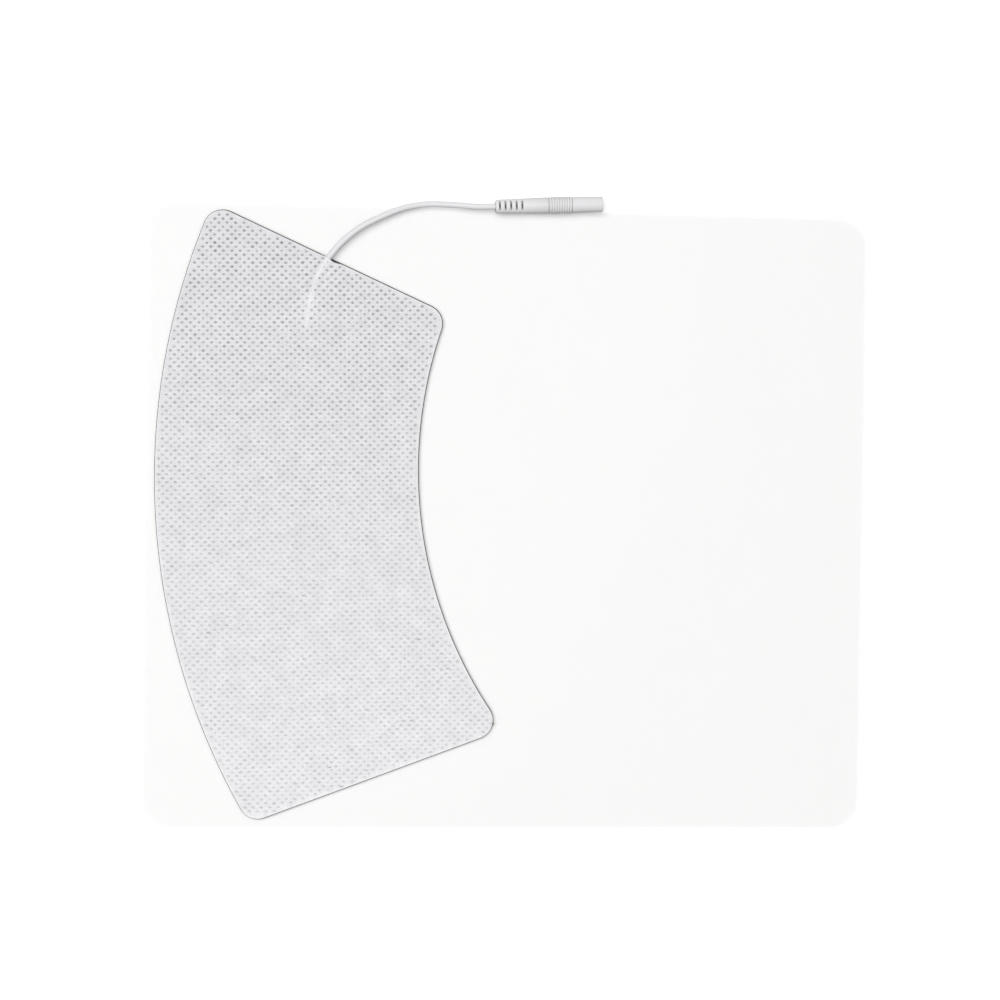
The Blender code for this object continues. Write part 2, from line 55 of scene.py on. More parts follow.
camera_data = bpy.data.cameras.new("studio_camera")
camera_data.lens = LENS_MM
camera = bpy.data.objects.new("studio_camera", camera_data)
camera.location = CAMERA_PLACE
camera.rotation_euler = [math.radians(angle) for angle in CAMERA_TURN]
scene.collection.objects.link(camera)
scene.camera = camera
scene.view_settings.view_transform = "Standard"


# Studio: a pale table under an even dome, with one large soft lamp overhead, a little to the
# left. The table is whiter for the camera alone, and glossy surfaces see the room dimmer.
TABLE_DROP = 0.0002
TABLE_HALF_WIDTH = 3.0
TABLE_FOR_LIGHT = 0.88
TABLE_FOR_GLOSS = 0.45
TABLE_FOR_CAMERA = 1.0
TABLE_LIFT = 0.235
DOME_LIGHT = 0.48
LAMP_PLACE = Vector((-1.30, 0.45, 4.16))
LAMP_WIDTH = 4.8
LAMP_DEPTH = 3.8
LAMP_WATTS = 129.0


def add_node(tree, kind, sockets=(), **settings):
    """A node with its settings, and its input sockets given as values or as links."""
    made = tree.nodes.new(kind)
    for name, value in settings.items():
        setattr(made, name, value)
    for name, value in dict(sockets).items():
        if isinstance(value, bpy.types.NodeSocket):
            tree.links.new(value, made.inputs[name])
        else:
            made.inputs[name].default_value = value
    return made


def seen_directly(tree):
    """1 for the camera's rays and for those that a clear body sends on, 0 for other light."""
    path = add_node(tree, "ShaderNodeLightPath")
    return add_node(tree, "ShaderNodeMath", operation="MAXIMUM", sockets={
        0: path.outputs["Is Camera Ray"],
        1: path.outputs["Is Transmission Ray"],
    }).outputs[0]


dome = bpy.data.worlds.new("studio_dome")
dome.use_nodes = True
dome_strength = add_node(dome.node_tree, "ShaderNodeMapRange", {
    "Value": seen_directly(dome.node_tree),
    "To Min": DOME_LIGHT,
    "To Max": 1.0,
})
background = dome.node_tree.nodes["Background"]
background.inputs["Color"].default_value = (1.0, 1.0, 1.0, 1.0)
dome.node_tree.links.new(dome_strength.outputs["Result"], background.inputs["Strength"])
scene.world = dome

table_top = bpy.data.materials.new("table_top")
table_top.use_nodes = True
table_nodes = table_top.node_tree
table_shader = table_nodes.nodes["Principled BSDF"]
table_shader.inputs["Roughness"].default_value = 1.0
table_shader.inputs["Specular IOR Level"].default_value = 0.0
table_seen = seen_directly(table_nodes)
table_unseen = add_node(table_nodes, "ShaderNodeMapRange", {
    "Value": add_node(table_nodes, "ShaderNodeLightPath").outputs["Is Glossy Ray"],
    "To Min": TABLE_FOR_LIGHT,
    "To Max": TABLE_FOR_GLOSS,
})
table_colour = add_node(table_nodes, "ShaderNodeMapRange", {
    "Value": table_seen,
    "To Min": table_unseen.outputs["Result"],
    "To Max": TABLE_FOR_CAMERA,
})
table_lift = add_node(table_nodes, "ShaderNodeMath", operation="MULTIPLY", sockets={
    0: table_seen,
    1: TABLE_LIFT,
})
table_nodes.links.new(table_colour.outputs["Result"], table_shader.inputs["Base Color"])
table_shader.inputs["Emission Color"].default_value = (1.0, 1.0, 1.0, 1.0)
table_nodes.links.new(table_lift.outputs[0], table_shader.inputs["Emission Strength"])

bm = bmesh.new()
table_place = Matrix.Translation((0.0, 0.0, -TABLE_DROP))
bmesh.ops.create_grid(bm, x_segments=1, y_segments=1, size=TABLE_HALF_WIDTH, matrix=table_place)
table_mesh = bpy.data.meshes.new("table")
bm.to_mesh(table_mesh)
bm.free()
table_mesh.materials.append(table_top)
table = bpy.data.objects.new("table", table_mesh)
scene.collection.objects.link(table)

lamp_data = bpy.data.lights.new("soft_lamp", "AREA")
lamp_data.shape = "ELLIPSE"
lamp_data.size = LAMP_WIDTH
lamp_data.size_y = LAMP_DEPTH
lamp_data.energy = LAMP_WATTS
lamp = bpy.data.objects.new("soft_lamp", lamp_data)
lamp.location = LAMP_PLACE
lamp_aim = LAMP_PLACE.normalized()
lamp.rotation_euler = (-math.asin(lamp_aim.y), math.atan2(lamp_aim.x, lamp_aim.z), 0.0)
scene.collection.objects.link(lamp)


# Lead: fine stranded copper in a soft pale plastic jacket, extruded in one length. It runs
# from inside the pad in a low arc over the liner and into the connector's strain relief.
LEAD_DIAMETER = 0.0018
LEAD_ROUTE = [
    (-0.0607, 0.0697, 0.00216),
    (-0.0601, 0.0718, 0.00216),
    (-0.0592, 0.0738, 0.00216),
    (-0.0579, 0.0760, 0.00216),
    (-0.0562, 0.0785, 0.00216),
    (-0.0545, 0.0807, 0.00220),
    (-0.0526, 0.0829, 0.00230),
    (-0.0492, 0.0860, 0.00240),
    (-0.0455, 0.0886, 0.00245),
    (-0.0415, 0.0907, 0.00240),
    (-0.0373, 0.0927, 0.00230),
    (-0.0330, 0.0943, 0.00210),
    (-0.0270, 0.0954, 0.00180),
    (-0.0209, 0.0955, 0.00180),
    (-0.0163, 0.0953, 0.00210),
    (-0.0118, 0.0950, 0.00240),
    (-0.0078, 0.0951, 0.00260),
    (-0.0009, 0.0954, 0.00260),
    (0.0042, 0.0956, 0.00260),
    (0.0093, 0.0959, 0.00260),
]
JACKET_COLOUR = (0.80, 0.80, 0.815, 1.0)
JACKET_ROUGHNESS = 0.30
# Painted shade: the jacket's colour darkens where it runs inside the connector, so it lies dark in the
# slots.
HOUSED_LEAD_X = (-0.0060, -0.0052)
HOUSED_PAINTED_SHADE = 0.75
JACKET_SKIN = (0.03, 9000.0, 0.00001)
JACKET_ROUND_STEPS = 6
CURVE_STEPS = 8
MOTTLE_SCALE = 400.0
PLASTIC_SPECULAR = 0.35
# Painted shade for every plastic and metal: the facing range over which its colour darkens, and how
# dark.
SLANT_RANGE = (0.3, 0.9)
SLANT_PAINTED_SHADE = 0.86


def surface_grain():
    """Node group: a slight mottle of the colour and a fine rough skin, for moulded plastic."""
    group = bpy.data.node_groups.new("surface_grain", "ShaderNodeTree")
    face = group.interface
    face.new_socket("Colour", in_out="INPUT", socket_type="NodeSocketColor")
    face.new_socket("Mottle", in_out="INPUT", socket_type="NodeSocketFloat")
    face.new_socket("Mottle Scale", in_out="INPUT", socket_type="NodeSocketFloat")
    face.new_socket("Grain Scale", in_out="INPUT", socket_type="NodeSocketFloat")
    face.new_socket("Colour", in_out="OUTPUT", socket_type="NodeSocketColor")
    face.new_socket("Height", in_out="OUTPUT", socket_type="NodeSocketFloat")
    given = add_node(group, "NodeGroupInput")
    place = add_node(group, "ShaderNodeTexCoord").outputs["Object"]
    cloud = add_node(group, "ShaderNodeTexNoise", {
        "Vector": place,
        "Scale": given.outputs["Mottle Scale"],
        "Detail": 3.0,
    })
    shade = add_node(group, "ShaderNodeMath", operation="MULTIPLY_ADD", sockets={
        0: cloud.outputs["Fac"],
        1: given.outputs["Mottle"],
        2: 1.0,
    })
    centred = add_node(group, "ShaderNodeMath", operation="MULTIPLY_ADD", sockets={
        0: given.outputs["Mottle"],
        1: -0.5,
        2: shade.outputs[0],
    })
    tinted = add_node(group, "ShaderNodeVectorMath", operation="SCALE", sockets={
        0: given.outputs["Colour"],
        "Scale": centred.outputs[0],
    })
    skin = add_node(group, "ShaderNodeTexNoise", {
        "Vector": place,
        "Scale": given.outputs["Grain Scale"],
        "Detail": 2.0,
    })
    add_node(group, "NodeGroupOutput", {
        "Colour": tinted.outputs[0],
        "Height": skin.outputs["Fac"],
    })
    return group


GRAIN = surface_grain()


def plastic(name, colour, roughness, skin):
    """A moulded or extruded plastic, with painted shade that darkens its colour where it turns away.
    Its skin is the strength of its mottle, and the scale and depth of its grain."""
    mottle, grain_scale, grain_depth = skin
    made = bpy.data.materials.new(name)
    made.use_nodes = True
    tree = made.node_tree
    shader = tree.nodes["Principled BSDF"]
    shader.inputs["Roughness"].default_value = roughness
    shader.inputs["Specular IOR Level"].default_value = PLASTIC_SPECULAR
    grain = add_node(tree, "ShaderNodeGroup", node_tree=GRAIN, sockets={
        "Colour": colour,
        "Mottle": mottle,
        "Mottle Scale": MOTTLE_SCALE,
        "Grain Scale": grain_scale,
    })
    bump = add_node(tree, "ShaderNodeBump", {
        "Height": grain.outputs["Height"],
        "Distance": grain_depth,
        "Strength": 1.0,
    })
    # Painted shade: the colour darkens towards edges that turn away from the camera.
    painted_light_and_tone = add_node(tree, "ShaderNodeMapRange", {
        "Value": add_node(tree, "ShaderNodeLayerWeight").outputs["Facing"],
        "From Min": SLANT_RANGE[0],
        "From Max": SLANT_RANGE[1],
        "To Min": 1.0,
        "To Max": SLANT_PAINTED_SHADE,
    })
    toned = add_node(tree, "ShaderNodeVectorMath", operation="SCALE", sockets={
        0: grain.outputs["Colour"],
        "Scale": painted_light_and_tone.outputs["Result"],
    })
    tree.links.new(toned.outputs[0], shader.inputs["Base Color"])
    tree.links.new(bump.outputs["Normal"], shader.inputs["Normal"])
    return made


def shade_in(made, mask, start, end, share):
    """Paints shade into a material's colour: darkens it by this share where the mask has reached its
    end value.
    """
    tree = made.node_tree
    base = tree.nodes["Principled BSDF"].inputs["Base Color"]
    dim = add_node(tree, "ShaderNodeMapRange", {
        "Value": mask,
        "From Min": start,
        "From Max": end,
        "To Min": 1.0,
        "To Max": 1.0 - share,
    })
    dimmed = add_node(tree, "ShaderNodeVectorMath", operation="SCALE", sockets={
        0: base.links[0].from_socket,
        "Scale": dim.outputs["Result"],
    })
    tree.links.new(dimmed.outputs[0], base)


def smooth_curve(name, route):
    """A curve object on one smooth spline through the route's points."""
    knots = [Vector(point) for point in route]
    around = [2 * knots[0] - knots[1], *knots, 2 * knots[-1] - knots[-2]]
    data = bpy.data.curves.new(name, "CURVE")
    data.dimensions = "3D"
    spline = data.splines.new("BEZIER")
    spline.resolution_u = CURVE_STEPS
    spline.bezier_points.add(len(knots) - 1)
    for knot, before, here, after in zip(spline.bezier_points, around, knots, around[2:]):
        knot.handle_left_type = "FREE"
        knot.handle_right_type = "FREE"
        knot.co = here
        knot.handle_left = here - (after - before) / 6
        knot.handle_right = here + (after - before) / 6
    return data


jacket = plastic("lead_jacket", JACKET_COLOUR, JACKET_ROUGHNESS, JACKET_SKIN)
jacket_place = add_node(jacket.node_tree, "ShaderNodeTexCoord").outputs["Object"]
jacket_along = add_node(jacket.node_tree, "ShaderNodeSeparateXYZ", {"Vector": jacket_place})
# Painted shade on the jacket inside the connector.
shade_in(jacket, jacket_along.outputs["X"], *HOUSED_LEAD_X, HOUSED_PAINTED_SHADE)
lead_curve = smooth_curve("lead", LEAD_ROUTE)
lead_curve.bevel_depth = LEAD_DIAMETER / 2
lead_curve.bevel_resolution = JACKET_ROUND_STEPS
lead_curve.use_fill_caps = True
lead_curve.materials.append(jacket)
lead = bpy.data.objects.new("lead", lead_curve)
scene.collection.objects.link(lead)
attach(lead, "root")
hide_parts("lead_wire")


# Release liner: the clear polyester film that the gel side lies on until use. It is
# die-cut with round corners, and greyer along its cut rim, with a painted gleam just inside it.
LINER_LOW, LINER_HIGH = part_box("release_liner")
LINER_CORNER_RADIUS = 0.009
LINER_CORNER_STEPS = 14
# Rim values of the bands from the edge in: 1 for the grey cut rim, -0.3 for a painted gleam just inside
# it, 0 for the plain face.
LINER_BANDS = ((0.00030, 1.0), (0.00012, -0.3), (0.00050, -0.3), (0.00030, 0.0))
FILM_COLOUR = (0.40, 0.40, 0.39, 1.0)
RIM_COLOUR = (0.30, 0.30, 0.29, 1.0)
FILM_ALPHA = 0.004
RIM_ALPHA = 0.20
FILM_ROUGHNESS = 0.12
FILM_INDEX = 1.45
HAZE_SCALE = 30.0
HAZE_SHARE = 0.15


def piece_from(bm, name, finish, slot, *nodes, crease=35.0):
    """Makes bm a piece that rides on the pad and stands for these solids."""
    mesh = bpy.data.meshes.new(name)
    bm.to_mesh(mesh)
    bm.free()
    mesh.materials.append(finish)
    mesh.shade_smooth()
    mesh.set_sharp_from_angle(angle=math.radians(crease))
    piece = bpy.data.objects.new(name, mesh)
    scene.collection.objects.link(piece)
    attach(piece, "root")
    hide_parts(*nodes)
    return piece


def clear_film_finish():
    """Clear film: barely there face on, less clear at a slant, greyer at its cut rim, and clearer in a
    painted gleam just inside the rim.
    """
    made = bpy.data.materials.new("clear_film")
    made.use_nodes = True
    tree = made.node_tree
    shader = tree.nodes["Principled BSDF"]
    shader.inputs["Roughness"].default_value = FILM_ROUGHNESS
    rim = add_node(tree, "ShaderNodeAttribute", attribute_name="rim")
    haze = add_node(tree, "ShaderNodeTexNoise", {
        "Vector": add_node(tree, "ShaderNodeTexCoord").outputs["Object"],
        "Scale": HAZE_SCALE,
        "Detail": 3.0,
    })
    face_alpha = add_node(tree, "ShaderNodeMapRange", {
        "Value": haze.outputs["Fac"],
        "From Min": 0.3,
        "From Max": 0.7,
        "To Min": FILM_ALPHA * (1 - HAZE_SHARE),
        "To Max": FILM_ALPHA * (1 + HAZE_SHARE),
    })
    edged = add_node(tree, "ShaderNodeMapRange", clamp=False, sockets={
        "Value": rim.outputs["Fac"],
        "To Min": face_alpha.outputs["Result"],
        "To Max": RIM_ALPHA,
    })
    slant = add_node(tree, "ShaderNodeFresnel", {"IOR": FILM_INDEX})
    alpha = add_node(tree, "ShaderNodeMath", operation="ADD", use_clamp=True, sockets={
        0: edged.outputs["Result"],
        1: slant.outputs[0],
    })
    colour = add_node(tree, "ShaderNodeMix", data_type="RGBA", sockets={
        "Factor": rim.outputs["Fac"],
        6: FILM_COLOUR,
        7: RIM_COLOUR,
    })
    tree.links.new(colour.outputs[2], shader.inputs["Base Color"])
    tree.links.new(alpha.outputs[0], shader.inputs["Alpha"])
    return made


bm = bmesh.new()
bmesh.ops.create_grid(bm, x_segments=1, y_segments=1, size=0.5)
liner_size = LINER_HIGH - LINER_LOW
bmesh.ops.scale(bm, vec=(liner_size.x, liner_size.y, 1.0), verts=bm.verts)
bmesh.ops.translate(bm, vec=(0.0, 0.0, LINER_HIGH.z), verts=bm.verts)
bmesh.ops.bevel(
    bm,
    geom=bm.verts[:],
    offset=LINER_CORNER_RADIUS,
    offset_type="OFFSET",
    affect="VERTICES",
    segments=LINER_CORNER_STEPS,
    profile=0.5,
    material=-1,
)
rim_layer = bm.verts.layers.float.new("rim")
for vert in bm.verts:
    vert[rim_layer] = 1.0
for band, rim_value in LINER_BANDS:
    middle = min(bm.faces, key=lambda face: face.calc_center_median().to_2d().length)
    bmesh.ops.inset_region(bm, faces=[middle], thickness=band, depth=0.0, use_even_offset=True)
    for vert in middle.verts:
        vert[rim_layer] = rim_value
bmesh.ops.solidify(bm, geom=bm.faces[:], thickness=liner_size.z)
piece_from(bm, "liner_film", clear_film_finish(), "clear_film", "release_liner")


# Gel: a slab of clear sticky hydrogel, cast on a fine scrim and die-cut with the pad. It
# sticks to the liner by its own tack, and its soft cut edge swells a little.
OUTER_CENTRE = Vector((0.09931, 0.01385))
OUTER_RADIUS = 0.20688
INNER_CENTRE = Vector((0.10449, 0.01650))
INNER_RADIUS = 0.13260
TOP_ANGLE = math.radians(65.97)
TOP_REACH = 0.04898
LOW_ANGLE = math.radians(290.47)
LOW_REACH = 0.05981
CORNER_RADIUS = 0.006
LONG_ARC_STEP = math.radians(1.0)
CORNER_STEP = math.radians(7.5)
GEL_LOW, GEL_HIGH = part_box("hydrogel_layer")
GEL_EDGE_ROUND = 0.00025
GEL_EDGE_STEPS = 3
GEL_COLOUR = (0.80, 0.83, 0.80, 1.0)
SCRIM_COLOUR = (0.70, 0.75, 0.72, 1.0)
SCRIM_SCALE = 900.0
GEL_CLEARNESS = 0.55
GEL_INDEX = 1.38
GEL_ROUGHNESS = (0.08, 0.24)
MERGE_REACH = 0.000002
LEVEL_REACH = 0.000001


def facing(angle):
    return Vector((math.cos(angle), math.sin(angle)))


def angle_of(vector):
    return math.atan2(vector.y, vector.x) % math.tau


def corner_centre(end_angle, end_reach, arc_centre, arc_reach):
    """Where the centre of a corner lies, between a straight end and a long arc."""
    normal = facing(end_angle)
    side = Vector((-abs(normal.y), normal.x * math.copysign(1.0, normal.y)))
    depth = end_reach - arc_centre.dot(normal)
    return arc_centre + normal * depth + side * math.sqrt(arc_reach**2 - depth**2)


def pad_arcs(insets):
    """The six arcs of the pad's edge, anticlockwise: centre, radius, first and last angle.
    The insets move in the outer side, the inner side, the top end and the low end."""
    outer = OUTER_RADIUS - insets[0]
    inner = INNER_RADIUS + insets[1]
    fillet = CORNER_RADIUS - max(insets)
    top = TOP_REACH - insets[2] - fillet
    low = LOW_REACH - insets[3] - fillet
    top_outer = corner_centre(TOP_ANGLE, top, OUTER_CENTRE, outer - fillet)
    top_inner = corner_centre(TOP_ANGLE, top, INNER_CENTRE, inner + fillet)
    low_outer = corner_centre(LOW_ANGLE, low, OUTER_CENTRE, outer - fillet)
    low_inner = corner_centre(LOW_ANGLE, low, INNER_CENTRE, inner + fillet)
    outer_first = angle_of(top_outer - OUTER_CENTRE)
    outer_last = angle_of(low_outer - OUTER_CENTRE)
    inner_first = angle_of(low_inner - INNER_CENTRE)
    inner_last = angle_of(top_inner - INNER_CENTRE)
    return [
        (top_outer, fillet, TOP_ANGLE, outer_first),
        (OUTER_CENTRE, outer, outer_first, outer_last),
        (low_outer, fillet, outer_last, LOW_ANGLE),
        (low_inner, fillet, LOW_ANGLE, inner_first + math.pi),
        (INNER_CENTRE, inner, inner_first, inner_last),
        (top_inner, fillet, inner_last + math.pi, TOP_ANGLE + math.tau),
    ]


def pad_edge(bm, height, insets=(0.0, 0.0, 0.0, 0.0)):
    """Adds the pad's closed edge line to bm, spun arc by arc, and returns its edges."""
    before = set(bm.edges)
    joints = []
    for middle, radius, first, last in pad_arcs(insets):
        start = middle + radius * facing(first)
        seed = bm.verts.new((start.x, start.y, height))
        step = LONG_ARC_STEP if radius > CORNER_RADIUS else CORNER_STEP
        spun = bmesh.ops.spin(
            bm,
            geom=[seed],
            cent=(middle.x, middle.y, height),
            axis=(0.0, 0.0, 1.0),
            angle=last - first,
            steps=math.ceil(abs(last - first) / step),
        )
        joints.append((seed, spun["geom_last"][0]))
    bm.edges.new((joints[2][1], joints[3][0]))
    bm.edges.new((joints[5][1], joints[0][0]))
    edges = [edge for edge in bm.edges if edge not in before]
    verts = list(dict.fromkeys(vert for edge in edges for vert in edge.verts))
    bmesh.ops.remove_doubles(bm, verts=verts, dist=MERGE_REACH)
    return [edge for edge in bm.edges if edge not in before]


def pad_slab(low, high, edge_round=0.0):
    """A slab in the pad's outline between two heights, with its rims rounded."""
    bm = bmesh.new()
    edges = pad_edge(bm, low)
    base = bmesh.ops.contextual_create(bm, geom=edges)["faces"]
    raised = bmesh.ops.extrude_face_region(bm, geom=base)["geom"]
    verts = [item for item in raised if isinstance(item, bmesh.types.BMVert)]
    bmesh.ops.translate(bm, vec=(0.0, 0.0, high - low), verts=verts)
    bmesh.ops.recalc_face_normals(bm, faces=bm.faces)
    if edge_round:
        rims = [
            edge for edge in bm.edges
            if abs(edge.verts[0].co.z - edge.verts[1].co.z) < LEVEL_REACH
        ]
        bmesh.ops.bevel(
            bm,
            geom=rims,
            offset=edge_round,
            offset_type="OFFSET",
            affect="EDGES",
            segments=GEL_EDGE_STEPS,
            profile=0.5,
            material=-1,
        )
    return bm


def gel_finish():
    """Water-clear gel with the faint haze of the scrim in it."""
    made = bpy.data.materials.new("hydrogel")
    made.use_nodes = True
    tree = made.node_tree
    shader = tree.nodes["Principled BSDF"]
    shader.inputs["Transmission Weight"].default_value = GEL_CLEARNESS
    shader.inputs["IOR"].default_value = GEL_INDEX
    haze = add_node(tree, "ShaderNodeTexNoise", {
        "Vector": add_node(tree, "ShaderNodeTexCoord").outputs["Object"],
        "Scale": SCRIM_SCALE,
        "Detail": 4.0,
    })
    colour = add_node(tree, "ShaderNodeMix", data_type="RGBA", sockets={
        "Factor": haze.outputs["Fac"],
        6: GEL_COLOUR,
        7: SCRIM_COLOUR,
    })
    roughness = add_node(tree, "ShaderNodeMapRange", {
        "Value": haze.outputs["Fac"],
        "To Min": GEL_ROUGHNESS[0],
        "To Max": GEL_ROUGHNESS[1],
    })
    tree.links.new(colour.outputs[2], shader.inputs["Base Color"])
    tree.links.new(roughness.outputs["Result"], shader.inputs["Roughness"])
    return made


slab = pad_slab(GEL_LOW.z, GEL_HIGH.z, GEL_EDGE_ROUND)
piece_from(slab, "gel_slab", gel_finish(), "hydrogel", "hydrogel_layer")


# Carbon film: black conductive film that spreads the current over the gel. It is cut a
# shade larger than the fabric, and shows as a fine dark line round the pad.
CARBON_LOW, CARBON_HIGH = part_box("carbon_film")
CARBON_COLOUR = (0.035, 0.035, 0.038, 1.0)
CARBON_ROUGHNESS = 0.5
CARBON_SKIN = (0.3, 6000.0, 0.00001)

slab = pad_slab(CARBON_LOW.z, CARBON_HIGH.z)
carbon = plastic("carbon_film", CARBON_COLOUR, CARBON_ROUGHNESS, CARBON_SKIN)
piece_from(slab, "carbon_layer", carbon, "carbon_film", "carbon_film")


# Stripped strands: the lead's tinned copper, fanned out on the film where the current
# goes over. The fabric hides them, so they keep the solid's own shape.
STRAND_COLOUR = (0.74, 0.70, 0.64, 1.0)
STRAND_ROUGHNESS = 0.32
METAL_SKIN = (0.15, 5000.0, 0.000004)


def metal(name, colour, roughness):
    """A bare metal with fine drawing marks and a little tarnish."""
    made = plastic(name, colour, roughness, METAL_SKIN)
    made.node_tree.nodes["Principled BSDF"].inputs["Metallic"].default_value = 1.0
    return made


tinned_copper = metal("tinned_copper", STRAND_COLOUR, STRAND_ROUGHNESS)
for node in ("conductor_strands", "crimped_conductor"):
    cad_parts[node].data.materials.clear()
    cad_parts[node].data.materials.append(tinned_copper)


# Backing fabric: white spunbond nonwoven, laid over the film with glue. Rows of small hot
# points weld its fibres, and the dark film shows through them. A channel over the lead is
# raised in it, open at the pad's top end.
FABRIC_LOW, FABRIC_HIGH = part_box("backing_fabric")
FABRIC_BOTTOM = FABRIC_LOW.z
FABRIC_THICKNESS = 0.0004
FABRIC_TOP = FABRIC_BOTTOM + FABRIC_THICKNESS
FABRIC_INSETS = (0.00019, 0.00024, 0.00032, 0.00026)
DOT_PITCH = 0.00249
ROW_PITCH = 0.00120
LATTICE_MIDDLE = (-0.056172, 0.000175)
LATTICE_TURN = math.radians(1.255)
LATTICE_CELLS = 124
PLAIN_EDGE = 0.00055
DOT_EDGE = 0.00105
DOT_RIM = (0.58, 0.45)
DOT_FLOOR = (0.34, 0.26)
DOT_WIDENING = 0.18
DOT_SIZES = (0.85, 1.15)
DOT_STRENGTHS = (0.62, 0.98)
DOT_TURN = math.radians(16.0)
DOT_SHIFT = 0.00008
DOT_DEPTH = 0.00010
TOP_LOOK_Y = 0.085
LOW_LOOK_Y = -0.020
# Beside the lead the fabric is drawn back, and the bared dark film stands in for the shade under its
# lifted edge.
GAP_MIDDLE = Vector((-0.0545, 0.0779))
GAP_REACH = 0.0024
GAP_DEPTH = 0.0007
CHANNEL_ROUTE = [
    (-0.0547, 0.0808),
    (-0.0562, 0.0785),
    (-0.0579, 0.0760),
    (-0.0592, 0.0738),
    (-0.0601, 0.0718),
    (-0.0607, 0.0697),
    (-0.0616, 0.0663),
    (-0.0622, 0.0628),
    (-0.0625, 0.0596),
    (-0.0629, 0.0566),
]
CHANNEL_HALF_WIDTH = 0.0028
CHANNEL_HEIGHTS = (
    (0.0, 0.00197),
    (0.0130, 0.00197),
    (0.0160, 0.00086),
    (0.0215, 0.00086),
    (0.0250, 0.0),
)
RIDGE_REACH = 0.0045
CREST_HALF_WIDTH = 0.0007
CREST_LIFT = 0.0004
# Channel whitening: on the crest partly the white lead showing through and partly a painted highlight;
# on the lee flank painted light against its shade.
CREST_WHITENESS_AND_HIGHLIGHT = 1.3
LEE_PAINTED_LIGHT = 1.5
LEE_STEP = Vector((-0.000095, 0.000033))
END_CUTS = 80
# How dark the welds show at the top and at the low end; their fainter look at the low end is painted
# sheen.
BOND_DARK_TOP = 0.63
BOND_DARK_LOW = 0.29
RIDGE_EVENNESS = 0.9
# Whitening over the whole raised channel, partly its look over the white lead and partly painted light.
RIDGE_WHITE_AND_PAINTED_LIGHT = 0.35
# The fabric's colour at the top and at the low end; the lighter low end is painted sheen.
FABRIC_TOP_COLOUR = (0.755, 0.755, 0.772, 1.0)
FABRIC_LOW_COLOUR = (0.845, 0.845, 0.860, 1.0)
# How much the whitening of the cut rim and of the channel lightens the fabric.
FABRIC_RIM_GAIN = 0.08
FABRIC_ROUGHNESS = 0.78
FABRIC_SPECULAR = 0.25
TONE_TOP_Y = 0.085
TONE_LOW_Y = -0.085
CLOUD_SCALE = 260.0
CLOUD_SHADES = (0.94, 1.06)
FIBRE_SCALE = 2600.0
FIBRE_SHADES = (0.85, 1.13)
FIBRE_RELIEF = 0.00006
UNEVEN_SCALE = 420.0
UNEVEN_SHADES = (0.84, 1.16)
CHANNEL_LINE_STEPS = 6
CHANNEL_SIDE_REACH = 0.02
EDGE_PROBE = 0.00002
EDGE_TRIES = 4
FIRST_INSET = 0.00003


def depth_inside(point):
    """How far a point lies inside the pad's edge, near enough at its round corners too."""
    outer_depth = OUTER_RADIUS - (point - OUTER_CENTRE).length
    inner_depth = (point - INNER_CENTRE).length - INNER_RADIUS
    top_depth = TOP_REACH - point.dot(facing(TOP_ANGLE))
    low_depth = LOW_REACH - point.dot(facing(LOW_ANGLE))
    side = min(outer_depth, inner_depth)
    end = min(top_depth, low_depth)
    if side < CORNER_RADIUS and end < CORNER_RADIUS:
        return CORNER_RADIUS - math.hypot(CORNER_RADIUS - side, CORNER_RADIUS - end)
    return min(side, end)


def fabric_depth(point):
    """The same for the fabric, which is drawn back from the edge beside the lead, so that the bared
    dark film stands in for the shade under its lifted edge there.
    """
    drawn = GAP_DEPTH * max(0.0, 1 - (point - GAP_MIDDLE).length / GAP_REACH)
    return depth_inside(point) - drawn


def moved_in(point, wanted):
    """The point itself, or the place beside it that lies so deep inside the fabric's edge."""
    for _ in range(EDGE_TRIES):
        here = fabric_depth(point)
        if here >= wanted:
            break
        slope = Vector((
            fabric_depth(point + Vector((EDGE_PROBE, 0.0))) - here,
            fabric_depth(point + Vector((0.0, EDGE_PROBE))) - here,
        )) / EDGE_PROBE
        point = point + slope * (wanted - here) / slope.length_squared
    return point


def fine_points(curve, count):
    """Points along a curve's smooth spline, count to each of its stretches."""
    knots = curve.splines[0].bezier_points
    points = [knots[0].co.copy()]
    for a, b in zip(knots, knots[1:]):
        stretch = interpolate_bezier(a.co, a.handle_right, b.handle_left, b.co, count + 1)
        points += stretch[1:]
    return points


channel_curve = smooth_curve("channel_line", [(x, y, 0.0) for x, y in CHANNEL_ROUTE])
channel_line = [point.to_2d() for point in fine_points(channel_curve, CHANNEL_LINE_STEPS)]
bpy.data.curves.remove(channel_curve)


def channel_place(point):
    """Distance of a point from the channel's middle line, and how far along that line."""
    nearest = (RIDGE_REACH, 0.0)
    run = 0.0
    if point.y < channel_line[-1].y - RIDGE_REACH:
        return nearest
    if abs(point.x - channel_line[0].x) > CHANNEL_SIDE_REACH:
        return nearest
    for a, b in zip(channel_line, channel_line[1:]):
        step = b - a
        share = min(max((point - a).dot(step) / step.length_squared, 0.0), 1.0)
        away = (point - a - step * share).length
        if away < nearest[0]:
            nearest = (away, run + step.length * share)
        run += step.length
    return nearest


def channel_lift(point, half_width):
    """Height of the channel over the flat fabric at a point, bell-shaped across."""
    away, run = channel_place(point)
    if away >= half_width:
        return 0.0
    height = 0.0
    for (start, low), (end, high) in zip(CHANNEL_HEIGHTS, CHANNEL_HEIGHTS[1:]):
        if start <= run <= end:
            share = (run - start) / (end - start)
            height = low + (high - low) * share * share * (3 - 2 * share)
    return height * 0.5 * (1 + math.cos(math.pi * away / half_width))


